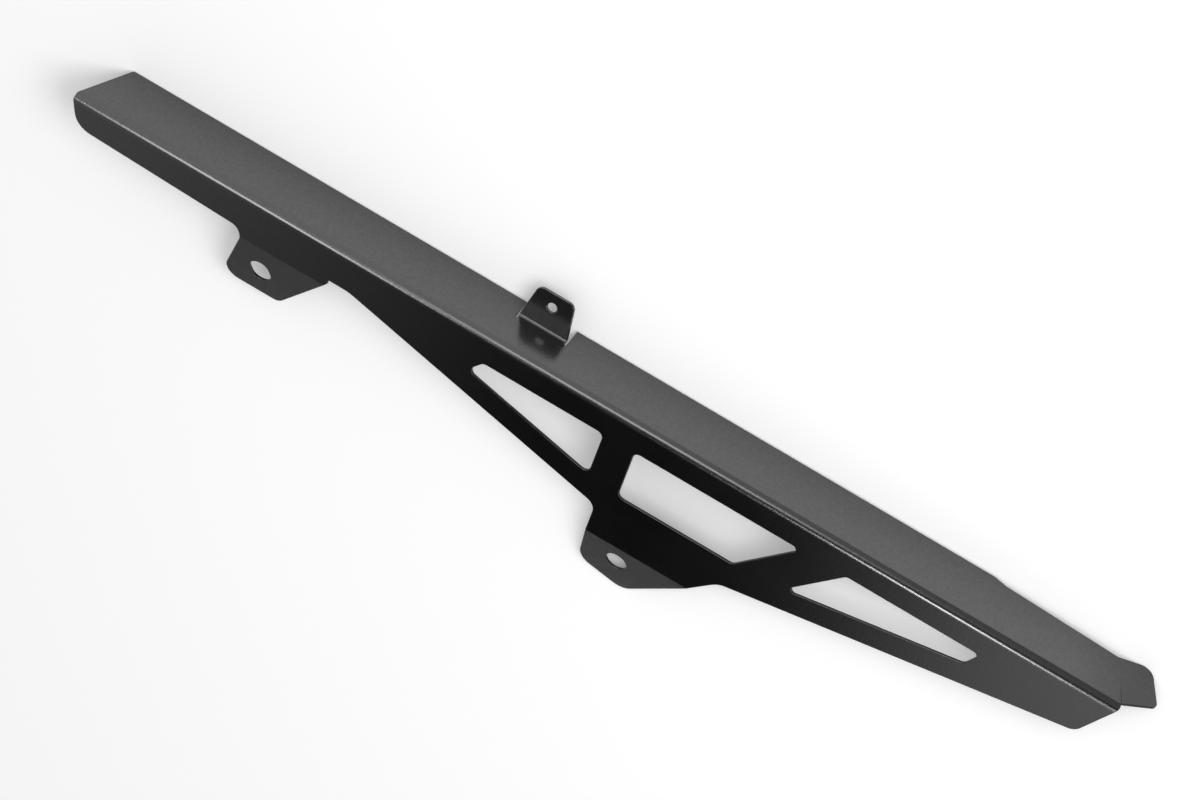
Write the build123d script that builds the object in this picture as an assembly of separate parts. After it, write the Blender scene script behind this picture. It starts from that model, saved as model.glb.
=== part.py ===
"""Motorcycle chain guard: one steel sheet, laser cut, folded once along its length and powder coated.

The guard sits over the upper run of the chain. Its top flange lies above the chain and its side
flange hangs down outside it. Sizes are in millimetres. X runs along the main fold towards the
lip, Y from the side flange across the top flange to the rear edge, and Z is up. The sheet is
drawn from the outer corner of the main fold, and the finished part is moved so that its origin
is the centre of the hole in the upright tab, on the tab's face towards the side flange.
"""
from build123d import *
from math import cos, radians, sin, tan
import os

# Sheet
sheet_thickness = 1.5
bend_radius = 1.5            # inside radius of the small bends
fold_radius = 3.0            # inside radius of the main fold

# Main fold and the two flanges
fold_left_x = -247.4
fold_right_x = 330.3
top_width = 33.3
left_top_lean = 25.6         # the ends lean away from square to the fold, in degrees
left_side_lean = 22.0
right_side_lean = 30.6
rear_corner_radius = 2.0
fold_end_trim = 1.3          # takes the sharp tip off both ends of the main fold

# Rear edge of the top flange, past its step
step_x = 244.0
step_length = 6.5
step_depth = 1.6
step_radius = 5.0
rear_taper = 2.5

# Lip that closes the right end of the top flange
lip_lean = 29.6              # of its bend, which starts at the right end of the main fold
lip_front_y = 3.3
lip_bend = 12.0
lip_rear_length = 17.7
lip_front_length = 19.4
lip_rear_taper = 1.0
lip_front_taper = 14.0
lip_rear_radius = 7.0
lip_front_radius = 3.5

# Strip at the left end of the side flange
strip_depth = 17.55          # at the left end of the main fold
strip_taper = 2.2
strip_end_radius = 12.0
strip_tab_radius = 6.5

# Front tab, under the strip
front_tab_bend_depth = 25.4
front_tab_left_x = -146.9
front_tab_left_lean = 7.6
front_tab_bottom_x = -120.3
front_tab_length = 35.6
front_tab_right_x = -99.3
front_tab_right_depth = 23.7
front_tab_bend = 14.0
front_tab_left_radius = 8.0
front_tab_right_radius = 5.5

# Relief beside the front tab, and the flare that deepens the side flange
relief_depth = 21.6
relief_end_x = -88.5
relief_radius = 0.5
flare_angle = 15.0
flare_radius = 20.0

# Middle tab, under the deep end of the flare
middle_tab_left_x = 59.4
middle_tab_left_depth = 103.2
middle_tab_bottom_x = 84.8
middle_tab_slope = 14.5
middle_tab_right_slope = 45.5
middle_tab_bend_depth = 78.2
middle_tab_bend = 14.0
middle_tab_top_radius = 6.0
middle_tab_left_radius = 9.0
middle_tab_bottom_radius = 9.0
middle_tab_tail_radius = 12.0

# Tail of the side flange
tail_start_x = 128.7
tail_end_depth = 28.5
tail_corner_radius = 9.0

# Windows in the side flange
window_top_depth = 17.0
window_radius = 3.3
window_tip_radius = 2.0      # of the sharp corners
window_slant = 48.0          # of the edges either side of the strut between windows two and three
first_window_left_x = -21.5
first_window_right_x = 50.9
first_window_left_depth = 25.8
first_window_end_lean = 35.6
second_window_left_x = 68.2
second_window_top_right_x = 159.7
second_window_bottom_depth = 48.6
third_window_top_left_x = 184.7
third_window_left_depth = 45.8
third_window_top_right_x = 258.0
third_window_angle = 11.3
third_window_end_radius = 4.5

# Upright tab at the rear edge
upright_face_y = 23.5        # where the tab's face would meet the top flange
upright_bend = 79.0
upright_length = 20.2        # along its face, from where that would meet the top flange
upright_base_half_width = 13.0
upright_taper = 9.2
upright_corner_radius = 4.0
notch_gap = 0.8
notch_back_y = 21.5

# Holes
upright_hole_diameter = 5.0
upright_hole_reach = 12.6    # along the tab's face, like its length
front_slot_length = 13.0
front_slot_width = 10.4
front_slot_angle = 64.0
front_slot_from_left = 16.4  # from the tab's left edge
front_slot_depth = 44.5
middle_hole_diameter = 10.8
middle_hole_x = 78.3
middle_hole_depth = 90.1

# Worked out from the sizes above
outer_radius = bend_radius + sheet_thickness
neutral_radius = bend_radius + sheet_thickness / 2
fold_outer_radius = fold_radius + sheet_thickness
total_length = fold_right_x - fold_left_x
beyond = 2 * total_length
upright_setback = bend_radius * tan(radians(upright_bend / 2))


def slope(angle):
    """Rise over run of a line at an angle in degrees."""
    return tan(radians(angle))


def rounded(corners):
    """Face inside a closed outline, given as corners (x, y, radius) in order."""
    count = len(corners)
    starts = []
    ends = []
    arcs = []
    for index in range(count):
        x, y, radius = corners[index]
        corner = Vector(x, y)
        before = Vector(*corners[index - 1][:2]) - corner
        after = Vector(*corners[(index + 1) % count][:2]) - corner
        if radius == 0:
            starts.append(corner)
            ends.append(corner)
            arcs.append(None)
            continue
        half = radians(before.get_angle(after)) / 2
        reach = radius / tan(half)
        start = corner + before.normalized() * reach
        end = corner + after.normalized() * reach
        middle_way = (before.normalized() + after.normalized()).normalized()
        middle = corner + middle_way * (radius / sin(half) - radius)
        starts.append(start)
        ends.append(end)
        arcs.append(ThreePointArc(start, middle, end))
    edges = []
    for index in range(count):
        if arcs[index]:
            edges.append(arcs[index])
        edges.append(Line(ends[index], starts[(index + 1) % count]))
    return make_face(edges)


def band(y_from, y_to):
    """Long flat strip between two values of y, to split a sheet's outline with."""
    return Pos(0, (y_from + y_to) / 2) * Rectangle(2 * beyond, y_to - y_from)


def bend_length(angle):
    """Length of sheet that a bend takes up, along the middle of its thickness."""
    return radians(abs(angle)) * neutral_radius


def folded(outline, angle):
    """Sheet that starts at a bend line, y = 0, with its bend.

    The outline is flat, before bending. The outer face is at z = 0. A positive angle folds away
    from the outer face, a negative one towards it.
    """
    length = bend_length(angle)
    if angle > 0:
        axis_z = -outer_radius
        first = 90
        last = 90 - angle
    else:
        axis_z = bend_radius
        first = -90
        last = -90 - angle
    far = 4 * outer_radius
    wedge = make_face(Polyline(
        (0, 0),
        (far * cos(radians(first)), far * sin(radians(first))),
        (far * cos(radians((first + last) / 2)), far * sin(radians((first + last) / 2))),
        (far * cos(radians(last)), far * sin(radians(last))),
        close=True,
    ))
    ring = (Circle(outer_radius) - Circle(bend_radius)) & wedge
    across = Plane(origin=(-beyond, 0, axis_z), x_dir=(0, 1, 0), z_dir=(1, 0, 0))
    tube = extrude(across * ring, 2 * beyond)
    column = extrude(outline & band(0, far), far, both=True)
    flat = extrude(outline & band(length, beyond), -sheet_thickness)
    turned = Pos(0, 0, axis_z) * Rot(X=-angle) * Pos(0, -length, -axis_z) * flat
    return (tube & column) + turned


def side_outline():
    """Side flange with its two lower tabs, flat, as x and depth below the main fold."""
    strip_rise = slope(strip_taper)
    left_rise = slope(left_side_lean)
    strip_corner = strip_depth / (1 - strip_rise * left_rise)
    strip_tab_x = front_tab_edge(front_tab_bend_depth - 4)
    strip_tab_depth = strip_depth + strip_rise * (strip_tab_x - fold_left_x)
    front_bottom = front_tab_bend_depth + front_tab_length
    front_left = front_tab_edge(front_bottom)
    flare_end = relief_depth + slope(flare_angle) * (middle_tab_left_x - relief_end_x)
    middle_bottom = (
        middle_tab_left_depth
        + slope(middle_tab_slope) * (middle_tab_bottom_x - middle_tab_left_x)
    )
    tail_start = middle_bottom - slope(middle_tab_right_slope) * (tail_start_x - middle_tab_bottom_x)
    tail_end_x = fold_right_x - slope(right_side_lean) * tail_end_depth
    return rounded([
        (fold_left_x + left_rise * fold_outer_radius, fold_outer_radius, 0),
        (fold_left_x + left_rise * strip_corner, strip_corner, strip_end_radius),
        (strip_tab_x, strip_tab_depth, strip_tab_radius),
        (front_left, front_bottom, front_tab_left_radius),
        (front_tab_bottom_x, front_bottom, front_tab_right_radius),
        (front_tab_right_x, front_tab_right_depth, 0),
        (front_tab_right_x, relief_depth, relief_radius),
        (relief_end_x, relief_depth, flare_radius),
        (middle_tab_left_x, flare_end, middle_tab_top_radius),
        (middle_tab_left_x, middle_tab_left_depth, middle_tab_left_radius),
        (middle_tab_bottom_x, middle_bottom, middle_tab_bottom_radius),
        (tail_start_x, tail_start, middle_tab_tail_radius),
        (tail_end_x, tail_end_depth, tail_corner_radius),
        (fold_right_x - slope(right_side_lean) * fold_outer_radius, fold_outer_radius, 0),
    ])


def windows():
    """The three openings of the side flange, as x and depth."""
    first_bottom = (
        first_window_left_depth + slope(flare_angle) * (first_window_right_x - first_window_left_x)
    )
    first_lean = slope(first_window_end_lean) * (first_window_left_depth - window_top_depth)
    first = rounded([
        (first_window_left_x + first_lean, window_top_depth, window_radius),
        (first_window_left_x, first_window_left_depth, window_radius),
        (first_window_right_x, first_bottom, window_radius),
        (first_window_right_x, window_top_depth, window_radius),
    ])
    second_rise = second_window_bottom_depth - window_top_depth
    second_bottom_x = second_window_top_right_x - second_rise / slope(window_slant)
    second = rounded([
        (second_window_left_x, window_top_depth, window_radius),
        (second_window_left_x, second_window_bottom_depth, window_radius),
        (second_bottom_x, second_window_bottom_depth, window_radius),
        (second_window_top_right_x, window_top_depth, window_tip_radius),
    ])
    third_rise = third_window_left_depth - window_top_depth
    third_left_x = third_window_top_left_x - third_rise / slope(window_slant)
    end_lean = slope(right_side_lean)
    bottom_rise = slope(third_window_angle)
    end_rise = third_rise - bottom_rise * (third_window_top_right_x - third_left_x)
    end_rise /= 1 - bottom_rise * end_lean
    third = rounded([
        (third_window_top_left_x, window_top_depth, window_radius),
        (third_left_x, third_window_left_depth, window_tip_radius),
        (
            third_window_top_right_x - end_lean * end_rise,
            window_top_depth + end_rise,
            third_window_end_radius,
        ),
        (third_window_top_right_x, window_top_depth, window_tip_radius),
    ])
    return [first, second, third]


def front_tab_edge(depth):
    """X of the front tab's left edge at a depth."""
    return front_tab_left_x - slope(front_tab_left_lean) * (depth - front_tab_bend_depth)


def front_slot():
    """Adjusting slot of the front tab, as x and depth."""
    straight = front_slot_length - front_slot_width
    slot = SlotCenterToCenter(straight, front_slot_width)
    slot_x = front_tab_edge(front_slot_depth) + front_slot_from_left
    return Pos(slot_x, front_slot_depth) * Rot(Z=front_slot_angle) * slot


def middle_hole():
    """Round hole of the middle tab, as x and depth."""
    return Pos(middle_hole_x, middle_hole_depth) * Circle(middle_hole_diameter / 2)


def side_flange():
    """Side flange, with the front and middle tabs bent inwards."""
    flat = side_outline()
    for opening in windows():
        flat -= opening
    flat -= front_slot()
    flat -= middle_hole()
    front_zone = Pos(front_tab_left_x, front_tab_bend_depth + beyond / 2) * Rectangle(
        2 * (front_tab_right_x - front_tab_left_x), beyond
    )
    middle_zone = Pos(0, middle_tab_bend_depth + beyond / 2) * Rectangle(2 * beyond, beyond)
    outer_face = Plane(origin=(0, 0, 0), x_dir=(1, 0, 0), z_dir=(0, 1, 0))
    plain = flat - front_zone - middle_zone
    flange = extrude(outer_face * plain, sheet_thickness, dir=(0, 1, 0))
    bends = (
        (front_zone, front_tab_bend_depth, front_tab_bend),
        (middle_zone, middle_tab_bend_depth, middle_tab_bend),
    )
    for zone, depth, angle in bends:
        tab = Rot(Z=180) * Pos(0, -depth) * (flat & zone)
        tab = mirror(tab, Plane.XZ)
        line = Plane(origin=(0, 0, -depth), x_dir=(-1, 0, 0), z_dir=(0, -1, 0))
        flange += line * folded(tab, angle)
    return flange


def top_outline():
    """Top flange up to its bends, as x and y."""
    rear_rise = slope(left_top_lean)
    notch = upright_base_half_width + notch_gap
    lip_rise = slope(lip_lean)
    past_step = top_width - step_depth
    rear_fall = slope(rear_taper)
    to_lip = fold_right_x - step_x - step_length
    lip_y = (past_step - rear_fall * to_lip) / (1 - rear_fall * lip_rise)
    root_y = upright_face_y - upright_setback
    return rounded([
        (fold_left_x + rear_rise * fold_outer_radius, fold_outer_radius, 0),
        (fold_left_x + rear_rise * top_width, top_width, rear_corner_radius),
        (-notch, top_width, 0),
        (-notch, notch_back_y, 0),
        (-upright_base_half_width, notch_back_y, 0),
        (-upright_base_half_width, root_y, 0),
        (upright_base_half_width, root_y, 0),
        (upright_base_half_width, notch_back_y, 0),
        (notch, notch_back_y, 0),
        (notch, top_width, 0),
        (step_x, top_width, step_radius),
        (step_x + step_length, past_step, step_radius),
        (fold_right_x - lip_rise * lip_y, lip_y, 0),
        (fold_right_x - lip_rise * fold_outer_radius, fold_outer_radius, 0),
    ]), lip_y


def upright_tab():
    """Tab at the rear edge, bent up from the top flange, with its round hole."""
    rise = bend_length(upright_bend)
    face_line = rise - upright_setback
    top = face_line + upright_length
    narrow = upright_base_half_width - slope(upright_taper) * (top - rise)
    flat = rounded([
        (-upright_base_half_width, 0, 0),
        (upright_base_half_width, 0, 0),
        (upright_base_half_width, rise, 0),
        (narrow, top, upright_corner_radius),
        (-narrow, top, upright_corner_radius),
        (-upright_base_half_width, rise, 0),
    ])
    flat -= Pos(0, face_line + upright_hole_reach) * Circle(upright_hole_diameter / 2)
    return Pos(0, upright_face_y - upright_setback) * folded(flat, -upright_bend)


def lip(lip_y):
    """Lip at the right end of the top flange, bent down along a slanted line."""
    run = (lip_y - lip_front_y) / cos(radians(lip_lean))
    flat = rounded([
        (0, 0, 0),
        (run, 0, 0),
        (run - slope(lip_front_taper) * lip_front_length, lip_front_length, lip_front_radius),
        (slope(lip_rear_taper) * lip_rear_length, lip_rear_length, lip_rear_radius),
    ])
    along = (sin(radians(lip_lean)), -cos(radians(lip_lean)), 0)
    start = (fold_right_x - slope(lip_lean) * lip_y, lip_y, 0)
    line = Plane(origin=start, x_dir=along, z_dir=(0, 0, 1))
    return line * folded(flat, lip_bend)


def main_bend():
    """Quarter bend between the flanges, cut back with both leaning ends."""
    quarter = (Circle(fold_outer_radius) - Circle(fold_radius)) & (
        Pos(-fold_outer_radius, fold_outer_radius) * Rectangle(2 * fold_outer_radius, 2 * fold_outer_radius)
    )
    middle_x = (fold_left_x + fold_right_x) / 2
    section = Plane(
        origin=(middle_x, fold_outer_radius, -fold_outer_radius), x_dir=(0, 1, 0), z_dir=(1, 0, 0)
    )
    bend = extrude(section * quarter, total_length / 2 - fold_end_trim, both=True)
    ends = (
        (fold_left_x, left_top_lean, left_side_lean, 1),
        (fold_right_x, lip_lean, right_side_lean, -1),
    )
    for end_x, top_lean, side_lean, inward in ends:
        top_end = Polyline(
            (end_x - inward * beyond, 0),
            (end_x, 0),
            (end_x + inward * slope(top_lean) * fold_outer_radius, fold_outer_radius),
            (end_x - inward * beyond, fold_outer_radius),
            close=True,
        )
        side_end = Polyline(
            (end_x - inward * beyond, 0),
            (end_x, 0),
            (end_x + inward * slope(side_lean) * fold_outer_radius, -fold_outer_radius),
            (end_x - inward * beyond, -fold_outer_radius),
            close=True,
        )
        bend -= extrude(make_face(top_end), fold_outer_radius, both=True)
        bend -= extrude(Plane.XZ * make_face(side_end), fold_outer_radius, both=True)
    return bend


def chain_guard():
    """The whole folded sheet."""
    outline, lip_y = top_outline()
    top = extrude(outline, -sheet_thickness)
    return top + main_bend() + side_flange() + upright_tab() + lip(lip_y)


datum = Vector(
    0,
    upright_face_y + upright_hole_reach * cos(radians(upright_bend)),
    upright_hole_reach * sin(radians(upright_bend)),
)
guard = Pos(-datum) * chain_guard()
os.makedirs("parts", exist_ok=True)
export_step(guard, "parts/chain_guard.step")
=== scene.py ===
"""A motorcycle chain guard, folded from one steel sheet and coated satin black, on a pale studio floor.

Laid out as a Blender add-on and run as a script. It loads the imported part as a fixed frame, stands a
finished copy of the sheet in for it, and adds the floor, the lamps and the camera.
"""

import math

import bmesh
import bpy
from bpy.props import FloatProperty, FloatVectorProperty, PointerProperty
from mathutils import Matrix, Vector


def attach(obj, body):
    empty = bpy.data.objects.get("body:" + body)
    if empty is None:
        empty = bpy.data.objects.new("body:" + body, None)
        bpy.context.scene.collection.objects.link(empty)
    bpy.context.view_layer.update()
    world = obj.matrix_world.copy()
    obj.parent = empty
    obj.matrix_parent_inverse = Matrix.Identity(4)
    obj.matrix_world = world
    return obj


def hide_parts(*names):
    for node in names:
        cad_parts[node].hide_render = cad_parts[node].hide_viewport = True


bl_info = {
    "name": "Chain guard",
    "version": (1, 0, 0),
    "blender": (4, 5, 0),
    "location": "3D View > Sidebar > Chain guard",
    "description": "Builds a folded, powder-coated chain guard and its studio",
    "category": "Object",
}

NODE = "chain_guard"

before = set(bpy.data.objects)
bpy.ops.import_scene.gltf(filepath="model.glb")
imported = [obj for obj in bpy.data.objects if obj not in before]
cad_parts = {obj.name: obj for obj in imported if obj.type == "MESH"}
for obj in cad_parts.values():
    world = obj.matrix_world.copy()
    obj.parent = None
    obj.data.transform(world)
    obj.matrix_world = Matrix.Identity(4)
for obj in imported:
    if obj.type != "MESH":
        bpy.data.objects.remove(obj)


# Sizes and colours

class GuardSettings(bpy.types.PropertyGroup):
    """The finish of the coated sheet."""

    edge_radius: FloatProperty(
        name="Edge radius", description="Rounding that the coat leaves on every cut edge",
        default=0.0004, min=0.0, unit="LENGTH")
    coat_colour: FloatVectorProperty(
        name="Coat colour", description="Colour of the powder coat",
        default=(0.0018, 0.0019, 0.0021), size=3, subtype="COLOR", min=0.0, max=1.0)
    coat_gloss: FloatProperty(
        name="Coat gloss", description="Strength of the coat's own reflection, as a specular level",
        default=0.93, min=0.0, max=1.0, subtype="FACTOR")
    coat_roughness: FloatProperty(
        name="Coat roughness", description="Mean roughness of the satin coat",
        default=0.18, min=0.0, max=1.0, subtype="FACTOR")
    grain_size: FloatProperty(
        name="Grain size", description="Size of the coat's fine grain",
        default=0.0013, min=0.0001, unit="LENGTH")
    grain_depth: FloatProperty(
        name="Grain depth", description="Height of the coat's fine grain",
        default=0.000032, min=0.0, unit="LENGTH")
    grain_glint: FloatProperty(
        name="Grain glint", description="Coat weight of the grain's shinier lumps",
        default=0.25, min=0.0, max=1.0, subtype="FACTOR")


class StageSettings(bpy.types.PropertyGroup):
    """The floor, the lamps and the camera."""

    floor_colour: FloatVectorProperty(
        name="Floor colour", description="Colour of the plain floor",
        default=(0.92, 0.92, 0.92), size=3, subtype="COLOR", min=0.0, max=1.0)
    room_light: FloatProperty(
        name="Room light", description="Strength of the even light of the room",
        default=0.56, min=0.0)
    room_gloss: FloatProperty(
        name="Room gloss", description="Strength of the room's light in the coat's reflections",
        default=0.23, min=0.0)
    floor_glow: FloatProperty(
        name="Floor glow", description="How much paler the camera sees the floor than its light makes it",
        default=0.18, min=0.0)
    # Painted reflection: a glow that the floor shows only in the coat's reflections, beyond the top flange,
    # so the top flange looks paler.
    floor_reflection_glow: FloatProperty(
        name="Floor gloss", description="How much paler the coat mirrors the floor beyond the top flange",
        default=0.50, min=0.0)
    camera_distance: FloatProperty(
        name="Camera distance", description="Distance from the camera to the guard",
        default=15.0, min=0.1, unit="LENGTH")
    view_width: FloatProperty(
        name="View width", description="Width of the picture at the guard",
        default=0.56338, min=0.01, unit="LENGTH")
    camera_azimuth: FloatProperty(
        name="Camera azimuth", description="Turn of the camera's sight line away from +Y",
        default=math.radians(-12.7034), unit="ROTATION")
    camera_elevation: FloatProperty(
        name="Camera elevation", description="Angle at which the camera looks down",
        default=math.radians(45.2712), unit="ROTATION")
    camera_roll: FloatProperty(
        name="Camera roll", description="Turn of the camera about its sight line",
        default=math.radians(21.3363), unit="ROTATION")


# Shader helpers

class Value:
    """A socket or a plain number that takes part in shader maths."""

    def __init__(self, shader, source):
        self.shader = shader
        self.source = source

    def math(self, operation, *others, clamp=False):
        """Returns one Math node's result for this value and the others."""
        node = self.shader.tree.nodes.new("ShaderNodeMath")
        node.operation = operation
        node.use_clamp = clamp
        for socket, item in zip(node.inputs, (self, *others)):
            self.shader.feed(socket, item)
        return Value(self.shader, node.outputs[0])

    def __add__(self, other):
        return self.math("ADD", other)

    def __radd__(self, other):
        return self.math("ADD", other)

    def __sub__(self, other):
        return self.math("SUBTRACT", other)

    def __rsub__(self, other):
        return Value(self.shader, other).math("SUBTRACT", self)

    def __mul__(self, other):
        return self.math("MULTIPLY", other)

    def __rmul__(self, other):
        return self.math("MULTIPLY", other)

    def __truediv__(self, other):
        return self.math("DIVIDE", other)

    def between(self, low, high):
        """Returns 0 below low, 1 above high and an even rise between them."""
        return ((self - low) / (high - low)).math("ADD", 0.0, clamp=True)


class Shader:
    """Adds nodes to one material's or world's tree."""

    def __init__(self, tree):
        self.tree = tree
        tree.nodes.clear()

    def feed(self, socket, item):
        """Links a value to a socket, or sets the socket to a plain one."""
        if isinstance(item, Value):
            item = item.source
        if isinstance(item, bpy.types.NodeSocket):
            self.tree.links.new(item, socket)
        else:
            socket.default_value = item

    def node(self, kind, settings=None, sockets=None):
        """Adds a node, sets its settings first and then its sockets, and returns it."""
        node = self.tree.nodes.new(kind)
        for name, value in (settings or {}).items():
            setattr(node, name, value)
        for name, value in (sockets or {}).items():
            self.feed(node.inputs[name], value)
        return node

    def value(self, node, output):
        """Returns a node's output for use in maths."""
        return Value(self, node.outputs[output])

    def mix(self, factor, first, second):
        """Returns a mix of two colours."""
        node = self.node("ShaderNodeMix", {"data_type": "RGBA"})
        self.feed(node.inputs["Factor"], factor)
        colours = [socket for socket in node.inputs if socket.type == "RGBA"]
        self.feed(colours[0], first)
        self.feed(colours[1], second)
        result = [socket for socket in node.outputs if socket.type == "RGBA"]
        return result[0]

    def noise(self, place, size, detail=2.0, roughness=0.5):
        """Returns noise whose lumps are about as large as size, in metres."""
        node = self.node("ShaderNodeTexNoise", {"noise_dimensions": "3D"}, {
            "Vector": place, "Scale": 1.0 / size, "Detail": detail, "Roughness": roughness})
        return self.value(node, "Fac")


def opaque(colour):
    """Returns a colour with full alpha."""
    return (colour[0], colour[1], colour[2], 1.0)


# The coated sheet

PATCH_SIZE = 0.045
PATCH_TINT = 1.35
PATCH_FADE = (0.35, 0.7)
PATCH_ROUGHNESS = 0.05
GRAIN_FADE = (0.38, 0.62)
GRAIN_ROUGHNESS = 0.06


def coat_material(settings):
    """Returns satin black powder coat with a fine grain and an uneven gloss."""
    material = bpy.data.materials.new("powder_coat")
    material.use_nodes = True
    shader = Shader(material.node_tree)
    place = shader.node("ShaderNodeTexCoord").outputs["Object"]
    grain = shader.noise(place, settings.grain_size, detail=3.0, roughness=0.6)
    patches = shader.noise(place, PATCH_SIZE, detail=3.0)
    colour = shader.mix(patches.between(*PATCH_FADE), opaque(settings.coat_colour),
                        opaque([PATCH_TINT * part for part in settings.coat_colour]))
    roughness = (settings.coat_roughness + PATCH_ROUGHNESS * (patches - 0.5)
                 + GRAIN_ROUGHNESS * (grain - 0.5))
    bump = shader.node("ShaderNodeBump", {}, {
        "Strength": 1.0, "Distance": settings.grain_depth, "Height": grain})
    glint = settings.grain_glint * grain.between(*GRAIN_FADE)
    coat = shader.node("ShaderNodeBsdfPrincipled", {}, {
        "Base Color": colour, "Roughness": roughness, "Specular IOR Level": settings.coat_gloss,
        "Coat Weight": glint, "Coat Roughness": settings.coat_roughness,
        "Normal": bump.outputs["Normal"]})
    shader.node("ShaderNodeOutputMaterial", {}, {"Surface": coat.outputs["BSDF"]})
    return material


# Where a slanted outline crosses a bend, at a bend line's end
FRONT_TAB_LEFT = Vector((-0.1477, -0.0248, -0.0378))
FRONT_TAB_RIGHT = Vector((-0.1004, -0.0249, -0.0380))
MIDDLE_TAB_RIGHT = Vector((0.1150, -0.0244, -0.0909))
LIP_FRONT = Vector((0.3280, -0.0218, -0.0136))
LEDGE_REACH = 0.004
LEDGE_SIZE = 0.0004
SAME_POINT = 0.000005
FLAT_ANGLE = math.radians(0.5)
SHARP_ANGLE = math.radians(40)


def join_ledges(shape):
    """Merges the points of the tiny ledges that a slanted outline leaves where it crosses a bend."""
    for place in (FRONT_TAB_LEFT, FRONT_TAB_RIGHT, MIDDLE_TAB_RIGHT, LIP_FRONT):
        near = [point for point in shape.verts if (point.co - place).length < LEDGE_REACH]
        bmesh.ops.remove_doubles(shape, verts=near, dist=LEDGE_SIZE)


def is_rounded(edge):
    """Tells whether an edge is sharp and away from the lip's crowded front corner, which stays as cut."""
    if not edge.is_manifold or edge.calc_face_angle(0.0) < SHARP_ANGLE:
        return False
    return any((point.co - LIP_FRONT).length > LEDGE_REACH for point in edge.verts)


def rounded_copy(source, radius):
    """Returns a new mesh: the source's solid with merged points and its sharp edges rounded."""
    shape = bmesh.new()
    shape.from_mesh(source)
    bmesh.ops.remove_doubles(shape, verts=shape.verts, dist=SAME_POINT)
    join_ledges(shape)
    bmesh.ops.dissolve_limit(shape, angle_limit=FLAT_ANGLE, verts=shape.verts, edges=shape.edges)
    sharp = [edge for edge in shape.edges if is_rounded(edge)]
    bmesh.ops.bevel(shape, geom=sharp, offset=radius, offset_type="OFFSET", affect="EDGES",
                    segments=3, profile=0.5, material=-1, clamp_overlap=False)
    mesh = bpy.data.meshes.new("guard_sheet")
    shape.to_mesh(mesh)
    shape.free()
    mesh.polygons.foreach_set("use_smooth", [True] * len(mesh.polygons))
    return mesh


class CHAINGUARD_OT_sheet(bpy.types.Operator):
    """Adds the coated sheet in place of the plain solid."""

    bl_idname = "chain_guard.sheet"
    bl_label = "Add the coated sheet"

    def execute(self, context):
        settings = context.scene.chain_guard
        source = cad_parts[NODE]
        sheet = bpy.data.objects.new("guard_sheet", rounded_copy(source.data, settings.edge_radius))
        context.scene.collection.objects.link(sheet)
        sheet.data.materials.append(coat_material(settings))
        weighted = sheet.modifiers.new("flat faces", "WEIGHTED_NORMAL")
        weighted.weight = 50
        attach(sheet, "root")
        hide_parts(NODE)
        if not sheet.data.polygons:
            raise RuntimeError("the sheet has no faces")
        return {"FINISHED"}


# The studio

# The plane that the guard's lower edges rest on, and the sharp line of its main fold
RESTING_UP = Vector((0.0041, -0.9716, 0.2364)).normalized()
RESTING_POINT = Vector((-0.2302, 0.0074, -0.0139))
FOLD_Y = -0.025904
FOLD_Z = -0.012369

# The middle of the picture
TARGET = Vector((0.04076, -0.013804, -0.022869))

FLOOR_WIDTH = 2.4
FLOOR_NEAR = 1.2
FLOOR_FAR = 0.6
# Where the floor's painted reflection glow lies: above these heights in Z and left of this end in X
REFLECTION_GLOW_Z = (-0.04, 0.02)
REFLECTION_GLOW_END_X = (0.29, 0.33)

# The lamp that lights the floor stands in the studio's axes, beyond the top flange
KEY_PLACE = Vector((-0.5, -0.9, 1.3))
KEY_SIZE = 0.9
KEY_GLOW = 5.4

# The lamps and the room's two sides, which the main fold mirrors
LAMP_DISTANCE = 0.9
WALL_DISTANCE = 1.0
WALL_WIDTH = 3.0
WALL_MIDDLE_X = 0.05
SIGHT_LEAN = 0.155            # how far the mirrored sight moves along X in each metre
FAR_LEFT_GLOW = 0.51
FAR_LEFT_FADE = (-0.28, 0.0)
FAR_RIGHT_GLOW = 0.98
FAR_RIGHT_FADE = (0.18, 0.29)
FAR_LOW_SHARE = 0.55
FAR_HIGH_GAIN = 0.90
FAR_HEIGHTS = (-0.95, -0.55)
NEAR_LEFT_GLOW = 1.40
NEAR_RIGHT_DROP = 0.95
NEAR_FADE = (-0.02, 0.27)


def sight_line(settings):
    """Returns the camera's direction of view."""
    azimuth = settings.camera_azimuth
    elevation = settings.camera_elevation
    return Vector((math.sin(azimuth) * math.cos(elevation), math.cos(azimuth) * math.cos(elevation),
                   -math.sin(elevation)))


def studio_frame(settings):
    """Returns the studio's axes: Z off the floor, Y along the floor away from the camera."""
    up = RESTING_UP
    view = sight_line(settings)
    away = (view - up * view.dot(up)).normalized()
    across = away.cross(up)
    origin = TARGET - up * (TARGET - RESTING_POINT).dot(up)
    turn = Matrix((across, away, up)).transposed().to_4x4()
    return Matrix.Translation(origin) @ turn


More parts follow.
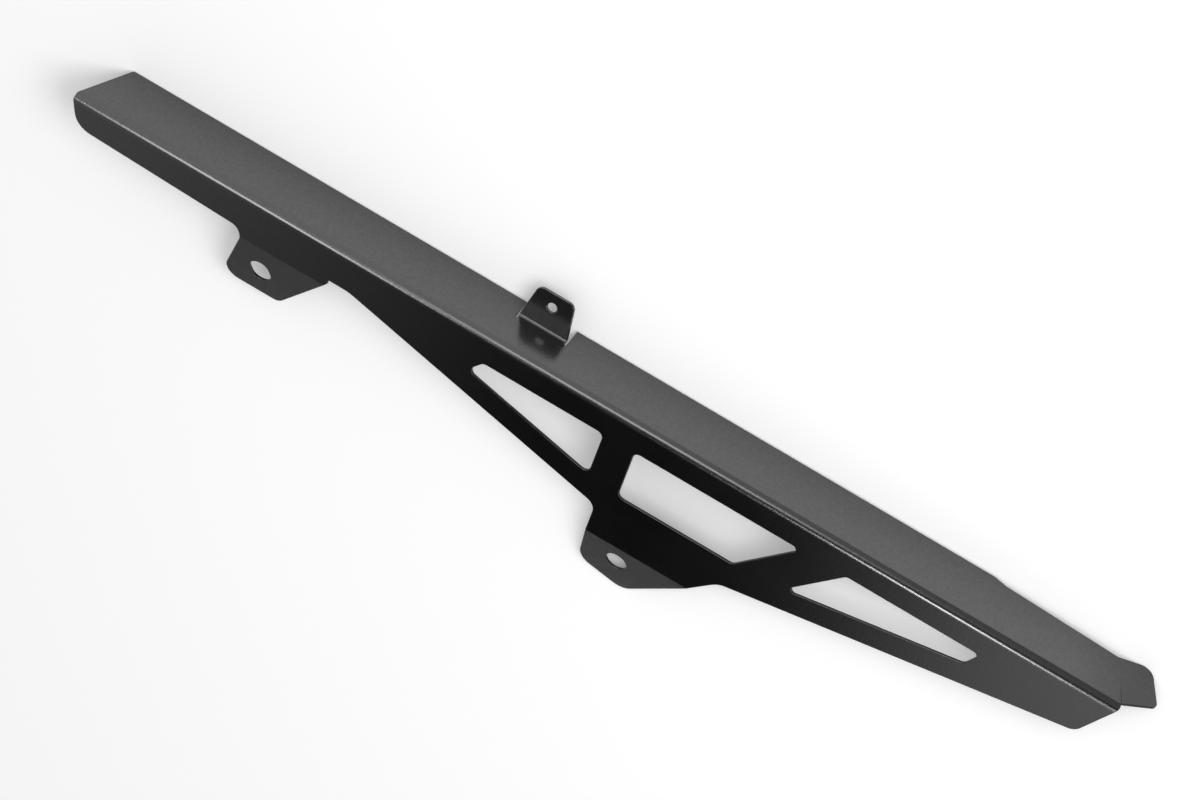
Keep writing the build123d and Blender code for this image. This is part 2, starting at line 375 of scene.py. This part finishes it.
def floor_material(settings):
    """Returns the floor's plain pale surface, which is clear when seen from below. It also carries a painted
    reflection: beyond the top flange and left of the lip, the floor glows only in the coat's reflections.
    """
    material = bpy.data.materials.new("studio_floor")
    material.use_nodes = True
    shader = Shader(material.node_tree)
    paint = shader.node("ShaderNodeBsdfDiffuse", {}, {"Color": opaque(settings.floor_colour)})
    path = shader.node("ShaderNodeLightPath")
    seen = shader.value(path, "Is Camera Ray")
    mirrored_in_coat = shader.value(path, "Is Glossy Ray")
    place = shader.node("ShaderNodeTexCoord").outputs["Object"]
    parts = shader.node("ShaderNodeSeparateXYZ", {}, {"Vector": place})
    beyond_top = shader.value(parts, "Z").between(*REFLECTION_GLOW_Z)
    left_of_lip = 1.0 - shader.value(parts, "X").between(*REFLECTION_GLOW_END_X)
    # Painted reflection: the floor glows for the coat's reflections only, beyond the top flange and left of
    # the lip, so the top flange mirrors a paler floor than the lamps light.
    paler = settings.floor_reflection_glow * beyond_top * left_of_lip * mirrored_in_coat
    glow = shader.node("ShaderNodeEmission", {}, {
        "Color": settings.floor_glow * seen + paler, "Strength": 1.0})
    pale = shader.node("ShaderNodeAddShader")
    shader.tree.links.new(paint.outputs["BSDF"], pale.inputs[0])
    shader.tree.links.new(glow.outputs["Emission"], pale.inputs[1])
    clear = shader.node("ShaderNodeBsdfTransparent")
    below = shader.node("ShaderNodeNewGeometry").outputs["Backfacing"]
    both = shader.node("ShaderNodeMixShader", {}, {"Fac": below})
    shader.tree.links.new(pale.outputs["Shader"], both.inputs[1])
    shader.tree.links.new(clear.outputs["BSDF"], both.inputs[2])
    shader.node("ShaderNodeOutputMaterial", {}, {"Surface": both.outputs["Shader"]})
    return material


def sheet_mesh(name, width, length, matrix):
    """Returns a flat rectangle whose points are already in place."""
    shape = bmesh.new()
    bmesh.ops.create_grid(shape, x_segments=1, y_segments=1, size=0.5,
                          matrix=matrix @ Matrix.Diagonal((width, length, 1.0, 1.0)))
    mesh = bpy.data.meshes.new(name)
    shape.to_mesh(mesh)
    shape.free()
    return mesh


def add_floor(context, settings, studio):
    """Adds the floor that the guard lies on."""
    middle = studio @ Matrix.Translation((0.0, (FLOOR_FAR - FLOOR_NEAR) / 2, 0.0))
    mesh = sheet_mesh("studio_floor", FLOOR_WIDTH, FLOOR_FAR + FLOOR_NEAR, middle)
    floor = bpy.data.objects.new("studio_floor", mesh)
    floor.data.materials.append(floor_material(settings))
    context.scene.collection.objects.link(floor)


def mirrored(settings, bend):
    """Returns where the sheet mirrors the camera's sight, at a bend away from the side flange's face."""
    view = sight_line(settings)
    normal = Vector((0.0, -math.cos(bend), math.sin(bend)))
    return view - normal * (2.0 * view.dot(normal))


def across_sight(settings, place_x, bend, distance):
    """Returns a matrix at a distance along the mirrored sight, turned back to the fold it came from."""
    fold = Vector((place_x, FOLD_Y, FOLD_Z))
    back = -mirrored(settings, bend)
    side = (Vector((1.0, 0.0, 0.0)) - back * back.x).normalized()
    turn = Matrix((side, -back.cross(side), -back)).transposed().to_4x4()
    return Matrix.Translation(fold - back * distance) @ turn


def add_lamp(context, settings, name, place_x, bend, size, glow):
    """Adds a soft lamp that the fold mirrors at one place and bend, in degrees, and the floor never sees."""
    data = bpy.data.lights.new(name, "AREA")
    data.shape = "RECTANGLE"
    data.size, data.size_y = size
    data.energy = math.pi * size[0] * size[1] * glow
    lamp = bpy.data.objects.new(name, data)
    lamp.matrix_world = across_sight(settings, place_x, math.radians(bend), LAMP_DISTANCE)
    lamp.visible_diffuse = False
    context.scene.collection.objects.link(lamp)


def add_key(context, studio):
    """Adds the large lamp beyond the top flange, which lights the floor and draws the soft shadow."""
    data = bpy.data.lights.new("lamp_key", "AREA")
    data.shape = "SQUARE"
    data.size = KEY_SIZE
    data.energy = math.pi * KEY_SIZE ** 2 * KEY_GLOW
    lamp = bpy.data.objects.new("lamp_key", data)
    place = studio @ KEY_PLACE
    aim = place - studio @ Vector((0.0, 0.0, 0.0))
    lamp.matrix_world = Matrix.Translation(place) @ aim.to_track_quat("Z", "Y").to_matrix().to_4x4()
    lamp.visible_glossy = False
    context.scene.collection.objects.link(lamp)


def far_wall_level(fold_x, height):
    """Returns the far side's glow: dim at the left, dark in the middle, paler at the right and higher up."""
    left = FAR_LEFT_GLOW * (1.0 - fold_x.between(*FAR_LEFT_FADE))
    right = FAR_RIGHT_GLOW * fold_x.between(*FAR_RIGHT_FADE)
    return (left + right) * (FAR_LOW_SHARE + FAR_HIGH_GAIN * height.between(*FAR_HEIGHTS))


def near_wall_level(fold_x, height):
    """Returns the near side's glow, which dims towards the right and is the same at every height."""
    return NEAR_LEFT_GLOW - NEAR_RIGHT_DROP * fold_x.between(*NEAR_FADE)


def add_wall(context, settings, name, bend, length, level):
    """Adds one side of the room, which only reflections see, with a glow that varies along the fold."""
    matrix = across_sight(settings, WALL_MIDDLE_X, math.radians(bend), WALL_DISTANCE)
    material = bpy.data.materials.new(name)
    material.use_nodes = True
    shader = Shader(material.node_tree)
    place = shader.node("ShaderNodeTexCoord").outputs["Object"]
    parts = shader.node("ShaderNodeSeparateXYZ", {}, {"Vector": place})
    fold_x = shader.value(parts, "X") + SIGHT_LEAN * WALL_DISTANCE
    height = shader.value(parts, "Z")
    glow = shader.node("ShaderNodeEmission", {}, {
        "Color": level(fold_x, height), "Strength": 1.0})
    shader.node("ShaderNodeOutputMaterial", {}, {"Surface": glow.outputs["Emission"]})
    wall = bpy.data.objects.new(name, sheet_mesh(name, WALL_WIDTH, length, matrix))
    wall.data.materials.append(material)
    wall.visible_camera = False
    wall.visible_diffuse = False
    wall.visible_shadow = False
    context.scene.collection.objects.link(wall)


def add_room(context, settings):
    """Adds the even light of the room."""
    world = bpy.data.worlds.new("studio_room")
    world.use_nodes = True
    shader = Shader(world.node_tree)
    path = shader.node("ShaderNodeLightPath")
    seen = shader.value(path, "Is Camera Ray")
    mirrored_in_coat = shader.value(path, "Is Glossy Ray")
    strength = (settings.room_light + (1.0 - settings.room_light) * seen
                - (settings.room_light - settings.room_gloss) * mirrored_in_coat)
    light = shader.node("ShaderNodeBackground", {}, {"Color": (1.0, 1.0, 1.0, 1.0), "Strength": strength})
    shader.node("ShaderNodeOutputWorld", {}, {"Surface": light.outputs["Background"]})
    context.scene.world = world


def add_camera(context, settings):
    """Adds the camera at the photograph's place."""
    data = bpy.data.cameras.new("camera")
    data.sensor_width = 36.0
    data.lens = data.sensor_width * settings.camera_distance / settings.view_width
    data.clip_end = 4.0 * settings.camera_distance
    camera = bpy.data.objects.new("camera", data)
    turn = (Matrix.Rotation(-settings.camera_azimuth, 4, "Z")
            @ Matrix.Rotation(math.pi / 2 - settings.camera_elevation, 4, "X")
            @ Matrix.Rotation(settings.camera_roll, 4, "Z"))
    place = TARGET - settings.camera_distance * sight_line(settings)
    camera.matrix_world = Matrix.Translation(place) @ turn
    context.scene.collection.objects.link(camera)
    context.scene.camera = camera


class CHAINGUARD_OT_stage(bpy.types.Operator):
    """Adds the floor, the lamps, the room light and the camera."""

    bl_idname = "chain_guard.stage"
    bl_label = "Add the studio"

    def execute(self, context):
        settings = context.scene.chain_guard_stage
        studio = studio_frame(settings)
        add_floor(context, settings, studio)
        add_lamp(context, settings, "lamp_left", place_x=-0.16, bend=29.5, size=(0.17, 0.40), glow=7.2)
        add_lamp(context, settings, "lamp_middle", place_x=0.055, bend=41.0, size=(0.20, 0.36), glow=3.7)
        add_lamp(context, settings, "lamp_right", place_x=0.247, bend=17.5, size=(0.08, 0.26), glow=18.0)
        add_key(context, studio)
        add_wall(context, settings, "studio_far_wall", bend=8.0, length=1.2, level=far_wall_level)
        add_wall(context, settings, "studio_near_wall", bend=59.0, length=1.7, level=near_wall_level)
        add_room(context, settings)
        add_camera(context, settings)
        context.scene.view_settings.view_transform = "Standard"
        if context.scene.camera is None:
            raise RuntimeError("the scene has no camera")
        return {"FINISHED"}


class CHAINGUARD_PT_panel(bpy.types.Panel):
    """Lists the steps in the 3D view's sidebar."""

    bl_idname = "CHAINGUARD_PT_panel"
    bl_label = "Chain guard"
    bl_space_type = "VIEW_3D"
    bl_region_type = "UI"
    bl_category = "Chain guard"

    def draw(self, context):
        for operator in OPERATORS:
            self.layout.operator(operator.bl_idname)


OPERATORS = (CHAINGUARD_OT_sheet, CHAINGUARD_OT_stage)
CLASSES = (GuardSettings, StageSettings, *OPERATORS, CHAINGUARD_PT_panel)


def register():
    """Registers the classes and their settings."""
    for item in CLASSES:
        bpy.utils.register_class(item)
    bpy.types.Scene.chain_guard = PointerProperty(type=GuardSettings)
    bpy.types.Scene.chain_guard_stage = PointerProperty(type=StageSettings)


def unregister():
    """Takes the classes and their settings away again."""
    del bpy.types.Scene.chain_guard_stage
    del bpy.types.Scene.chain_guard
    for item in reversed(CLASSES):
        bpy.utils.unregister_class(item)


def main():
    """Builds the whole scene."""
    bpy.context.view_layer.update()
    register()
    bpy.ops.chain_guard.sheet()
    bpy.ops.chain_guard.stage()


if __name__ == "__main__":
    main()
